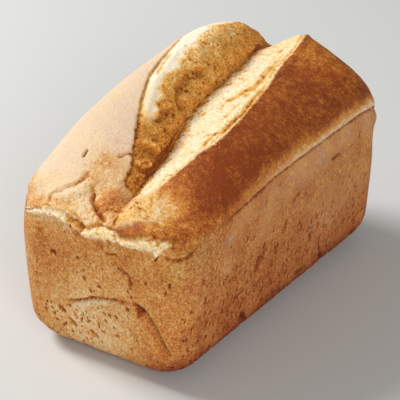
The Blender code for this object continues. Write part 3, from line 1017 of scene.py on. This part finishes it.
def surfaceTree():
    tree = bpy.data.node_groups.new("breadSurface", "GeometryNodeTree")
    board = Board(tree)
    tree.interface.new_socket("Geometry", in_out="INPUT", socket_type="NodeSocketGeometry")
    for name in surface:
        tree.interface.new_socket(name, in_out="INPUT", socket_type="NodeSocketFloat")
    tree.interface.new_socket("finish", in_out="INPUT", socket_type="NodeSocketMaterial")
    tree.interface.new_socket("Geometry", in_out="OUTPUT", socket_type="NodeSocketGeometry")
    given = board.add("NodeGroupInput")
    place = board.add("GeometryNodeInputPosition")
    masks = {}
    for name in ("wall", "crumb", "fluff", "blisters", "risen", "pores"):
        masks[name] = board.add("GeometryNodeInputNamedAttribute", {"data_type": "FLOAT"}, {"Name": name})

    # Torn crumb: open bubbles on the steep wall and a finer grain on the slope; blisters on the crust.
    swell = board.uneven(place, 9 * mm, 1.0)
    hollows = swell * 1.4 + 0.5 - bubbles(board, place, given.part("bubbleSize"))
    wallRise = hollows * given.part("bubbleDepth") * masks["wall"]
    fine = (swell * 2.0 - grain(board, place, given.part("grainSize"))) * given.part("grainDepth")
    slopeRise = fine * masks["fluff"]
    blister = board.uneven(place, given.part("blisterSize") * mm, 4.0, 0.6)
    blister = blister * given.part("blisterHeight") * (masks["blisters"] * 2.0 + 0.3)
    wrinkle = streaks(board, place, finish["wrinkleSize"]) * given.part("wrinkleDepth") * masks["risen"]
    aboveFoot = place.axes().part("Z").ramp(0.0, 4 * mm)
    skinRise = (blister + wrinkle) * aboveFoot * (1.0 - masks["crumb"])
    pore = pores(board, place, given.part("poreSpacing"), masks["pores"], given.part("poreStretch"))
    poreRise = pore * given.part("poreDepth") * -1.0

    # The place before the relief is kept, so that the finish's patterns fall where the relief's do.
    settings = {"data_type": "FLOAT_VECTOR", "domain": "POINT"}
    inputs = {"Geometry": given.part("Geometry"), "Name": "rest", "Value": place}
    kept = board.add("GeometryNodeStoreNamedAttribute", settings, inputs)
    push = board.add("GeometryNodeInputNormal").times((wallRise + slopeRise + skinRise + poreRise) * mm)
    shaped = board.add("GeometryNodeSetPosition", {}, {"Geometry": kept, "Offset": push})
    whole = board.add("GeometryNodeRealizeInstances", {}, {"Geometry": shaped})
    inputs = {"Geometry": whole, "Material": given.part("finish")}
    board.add("NodeGroupOutput", {}, {"Geometry": board.add("GeometryNodeSetMaterial", {}, inputs)})
    return tree


crustColours = [
    (0.0, (0.85, 0.64, 0.40)),
    (0.15, (0.80, 0.54, 0.27)),
    (0.35, (0.71, 0.36, 0.11)),
    (0.55, (0.59, 0.225, 0.058)),
    (0.75, (0.43, 0.12, 0.027)),
    (1.0, (0.25, 0.048, 0.010)),
]
crumbColours = [
    (0.0, (0.97, 0.86, 0.68)),
    (0.25, (0.85, 0.59, 0.26)),
    (0.5, (0.74, 0.365, 0.075)),
    (0.75, (0.54, 0.2, 0.028)),
    (1.0, (0.28, 0.085, 0.014)),
]
flourColour = (0.885, 0.725, 0.63, 1)
thinFlour = (0.84, 0.62, 0.38, 1)
goldenTone = (1.0, 0.96, 0.58, 1)
ochreTone = (0.85, 1.0, 1.0, 1)


def breadFinish():
    material = bpy.data.materials.new("breadFinish")
    material.use_nodes = True
    tree = material.node_tree
    board = Board(tree)
    shader = tree.nodes["Principled BSDF"]

    def mask(name):
        return board.add("ShaderNodeAttribute", {"attribute_name": name}, output="Fac")

    place = board.add("ShaderNodeAttribute", {"attribute_name": "rest"}, output="Vector")
    risen, crumb, wall, fluff = (mask(name) for name in ("risen", "crumb", "wall", "fluff"))
    flour, porous, hollow = (mask(name) for name in ("flour", "pores", "hollow"))
    pore = pores(board, place, surface["poreSpacing"], porous, surface["poreStretch"])
    patchy = board.uneven(place, finish["patchSize"] * mm, 3.0)
    mottle = board.uneven(place, finish["mottleSize"] * mm, 4.0, 0.7)
    fine = board.uneven(place, finish["fineSize"] * mm, 3.0, 0.7)
    blotchy = board.uneven(place.plus((0.1, 0.0, 0.0)), finish["blotchSize"] * mm, 4.0, 0.6)
    wrinkles = streaks(board, place, finish["wrinkleSize"])
    wrinkles = wrinkles + streaks(board, place, finish["wrinkleSize"] / 2) * 0.6
    specks = board.cells(place, finish["pitSpacing"] * mm)
    pits = specks.ramp(0.12, 0.3, 1.0, 0.0) * specks.chance().ramp(0.4, 0.7)
    dots = board.cells(place.plus((0.01, 0.02, 0.03)), finish["dotSpacing"] * mm).ramp(0.14, 0.28, 1.0, 0.0)

    # The crust's bake, whose finest grain is calmer on the risen flank and among the pores, and painted
    # shade inside the pores and open holes.
    grainShare = 1.0 - (risen * 0.4).most(porous * 0.45)
    grains = mottle * (finish["mottle"] + risen * finish["flankMottle"]) + fine * finish["fine"]
    bake = mask("bake") + patchy * finish["patches"]
    bake = bake + blotchy * (finish["blotches"] + risen * finish["flankBlotches"]) + grains * grainShare
    bake = bake + wrinkles * risen * finish["wrinkles"] + pits * finish["pits"] * (1.0 - flour)
    bake = bake - dots * risen * finish["dots"] + (pore * finish["pores"]).most(hollow * finish["holes"])
    blush = (mottle + patchy * 0.5).ramp(0.0, 0.22) * mask("blotches")
    bake = bake + blush * finish["blush"]
    crust = board.add("ShaderNodeValToRGB", {"stops": crustColours}, {"Fac": bake})
    crust = board.mix(mask("golden") * bake.ramp(0.2, 0.5), crust, goldenTone, "MULTIPLY")
    crust = board.mix(mask("ochre"), crust, ochreTone, "MULTIPLY")

    # Flour on it, thin or thick, rubbed off in the pits and where the crust blushes.
    pitCrowd = board.noise(place, 14 * mm).ramp(0.35, 0.65)
    dusted = (flour + mottle * 1.4 + fine * 1.6).ramp(0.25, 0.95) * finish["flour"]
    dusted = dusted - pits * finish["flourPits"] * pitCrowd - blush * finish["flourBlush"]
    thick = (flour + mottle * 1.5 + patchy * 1.1).ramp(0.4, 0.95)
    crust = board.mix(dusted, crust, board.mix(thick, thinFlour, flourColour))

    # The bare crumb, darker deep in its bubbles and in the hollows of its grain: painted shade.
    depth = bubbles(board, place, surface["bubbleSize"]) - 0.42
    crumbs = grain(board, place, surface["grainSize"])
    flecks = blotchy.ramp(0.04, 0.2)
    toast = mask("toast") + (depth * 0.58 + blotchy * 0.7 + fine) * wall
    toast = toast + (crumbs * 0.6 + flecks * 0.5 + fine * 0.3) * fluff + patchy * 0.15 + fine * 0.3
    inside = board.add("ShaderNodeValToRGB", {"stops": crumbColours}, {"Fac": toast})
    colour = board.mix(crumb, crust, inside)

    rough = finish["roughness"] - risen * 0.14 + crumb * 0.25 + flour * 0.2
    height = (fine * 2.4 + mottle * 1.2) * grainShare + wrinkles * risen * 0.8 - pits * 0.4 - pore * 1.6
    height = height * (1.0 - crumb) - depth * wall * 1.2 - crumbs * fluff * 1.2 + fine * crumb
    inputs = {"Strength": finish["bump"], "Distance": finish["bumpReach"] * mm, "Height": height}
    bump = board.add("ShaderNodeBump", {}, inputs)
    for name, wire in (("Base Color", colour), ("Roughness", rough), ("Normal", bump)):
        tree.links.new(wire.socket, shader.inputs[name])
    shader.inputs["Specular IOR Level"].default_value = finish["gloss"]
    return material


points, quads, masks = loafSkin()
print("loaf worked out:", len(points), "points")

mesh = bpy.data.meshes.new("loafSkin")
mesh.vertices.add(len(points))
mesh.vertices.foreach_set("co", (points * mm).ravel())
mesh.loops.add(quads.size)
mesh.loops.foreach_set("vertex_index", quads.ravel())
mesh.polygons.add(len(quads))
mesh.polygons.foreach_set("loop_start", np.arange(len(quads)) * 4)
mesh.update(calc_edges=True)
mesh.validate()
mesh.shade_smooth()
for name, values in masks.items():
    mesh.attributes.new(name, "FLOAT", "POINT").data.foreach_set("value", values.astype(np.float32))
skin = bpy.data.objects.new("loafSkin", mesh)
bpy.context.scene.collection.objects.link(skin)

tree = surfaceTree()
modifier = skin.modifiers.new("breadSurface", "NODES")
modifier.node_group = tree
given = {item.name: item.identifier for item in tree.interface.items_tree if item.in_out == "INPUT"}
for name, value in surface.items():
    modifier[given[name]] = value
modifier[given["finish"]] = breadFinish()

# How freely the mesh may be thinned: least in the open holes and where the seen walls are porous.
seen = (points[:, 1] < -30) | (points[:, 0] < -90)
free = skin.vertex_groups.new(name="free")
for where, freedom in (
    (np.full(len(points), True), 1.0),
    ((masks["pores"] > 0.3) & seen, 0.86),
    (masks["hollow"] > 0.02, 0.7),
    (masks["crumb"] > 0.3, 0.98),
):
    free.add(np.flatnonzero(where).tolist(), freedom, "REPLACE")
thin = skin.modifiers.new("thin", "DECIMATE")
thin.ratio = loaf["triangles"] / (2 * len(quads))
thin.vertex_group = "free"
thin.vertex_group_factor = 0.0001
bread = bpy.data.objects.new("bakedLoaf", bpy.data.meshes.new_from_object(
    skin.evaluated_get(bpy.context.evaluated_depsgraph_get())))
bpy.data.objects.remove(skin)
bpy.context.scene.collection.objects.link(bread)
print("loaf made:", len(bread.data.polygons), "faces")

# The fine relief may have moved the mesh out of the CAD box.
places = np.empty(3 * len(bread.data.vertices), np.float32)
bread.data.vertices.foreach_get("co", places)
places = fitted(places.reshape(-1, 3), *np.array(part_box("loaf")))
bread.data.vertices.foreach_set("co", places.astype(np.float32).ravel())
bread.data.update()
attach(bread, "root")
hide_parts("loaf")

# The stage: distances in metres, the lens and its sensor in millimetres, and angles in degrees.
stage = {
    "floorSize": 6.0,
    "floorColour": (0.60, 0.60, 0.58, 1),
    "floorRoughness": 0.8,
    "lens": 162.0,
    "sensor": 36.0,
    "azimuth": -56.11,
    "elevation": 28.2,
    "distance": 1.0305,
    "target": (0.01169, 0.01172, 0.045),
    "worldStrength": 0.27,
}
# Soft lights: azimuth, elevation, distance, size and power.
lights = {"key": (188, 42, 1.6, 0.6, 27), "fill": (-42, 22, 2, 1.2, 22.5)}


def lookBack(obj, azimuth, elevation, distance):
    # Puts a camera or light out from the target and turns it to look at it.
    a, e = math.radians(azimuth), math.radians(elevation)
    back = Vector((math.sin(a) * math.cos(e), -math.cos(a) * math.cos(e), math.sin(e)))
    obj.location = Vector(stage["target"]) + back * distance
    obj.rotation_euler = back.to_track_quat("Z", "Y").to_euler()
    bpy.context.scene.collection.objects.link(obj)


for name, (azimuth, elevation, distance, size, power) in lights.items():
    light = bpy.data.lights.new(name, "AREA")
    light.shape = "DISK"
    light.size = size
    light.energy = power
    lookBack(bpy.data.objects.new(name, light), azimuth, elevation, distance)
lens = bpy.data.cameras.new("camera")
lens.lens = stage["lens"]
lens.sensor_width = stage["sensor"]
camera = bpy.data.objects.new("camera", lens)
lookBack(camera, stage["azimuth"], stage["elevation"], stage["distance"])
bpy.context.scene.camera = camera

world = bpy.data.worlds.new("studio")
world.use_nodes = True
sky = world.node_tree.nodes["Background"]
sky.inputs["Strength"].default_value = stage["worldStrength"]
sky.inputs["Color"].default_value = (1, 1, 1, 1)
bpy.context.scene.world = world
bpy.context.scene.view_settings.view_transform = "Standard"

half = stage["floorSize"] / 2
floorMesh = bpy.data.meshes.new("floor")
corners = [(-half, -half, 0), (half, -half, 0), (half, half, 0), (-half, half, 0)]
floorMesh.from_pydata(corners, [], [(0, 1, 2, 3)])
floor = bpy.data.objects.new("floor", floorMesh)
bpy.context.scene.collection.objects.link(floor)
floorPaint = bpy.data.materials.new("floorPaint")
floorPaint.use_nodes = True
paint = floorPaint.node_tree.nodes["Principled BSDF"]
paint.inputs["Base Color"].default_value = stage["floorColour"]
paint.inputs["Roughness"].default_value = stage["floorRoughness"]
floorMesh.materials.append(floorPaint)
print("stage set")
